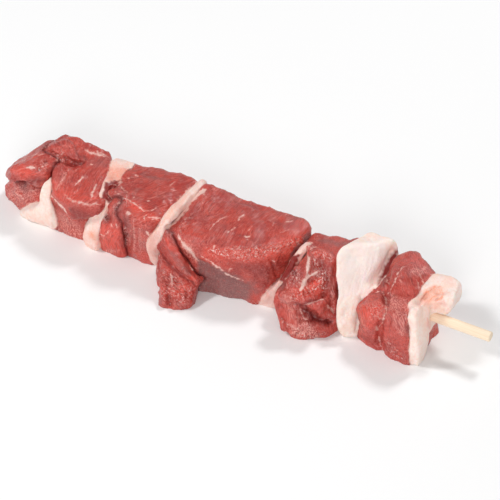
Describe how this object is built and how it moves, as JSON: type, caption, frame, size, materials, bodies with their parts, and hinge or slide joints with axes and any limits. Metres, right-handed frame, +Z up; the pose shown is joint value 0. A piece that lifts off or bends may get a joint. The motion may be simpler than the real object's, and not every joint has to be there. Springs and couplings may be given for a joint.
{
  "type": "lamb kebab skewer",
  "caption": "Raw lamb chunks and layers of fat threaded on a round wooden stick, lying flat with one end of the stick bare.",
  "frame": {"origin": "below the middle of the whole skewer's box, on the surface it lies on", "axes": "+X along the stick, towards its bare end; +Z up; the front, with the cut faces, is at -Y"},
  "size_m": [0.2244, 0.0538, 0.0292],
  "materials": {
    "raw_meat": "moist, fibrous",
    "raw_fat": "moist, waxy",
    "wood": "bare, fine grained"
  },
  "bodies": {
    "root": {"meat_1": "raw_meat", "fat_1": "raw_fat", "meat_2": "raw_meat", "fat_2": "raw_fat", "meat_3": "raw_meat", "meat_4": "raw_meat", "fat_4": "raw_fat", "meat_5": "raw_meat", "meat_6": "raw_meat", "fat_6": "raw_fat", "meat_7": "raw_meat", "fat_7": "raw_fat", "meat_8": "raw_meat", "fat_8": "raw_fat", "stick": "wood"}
  },
  "joints": []
}
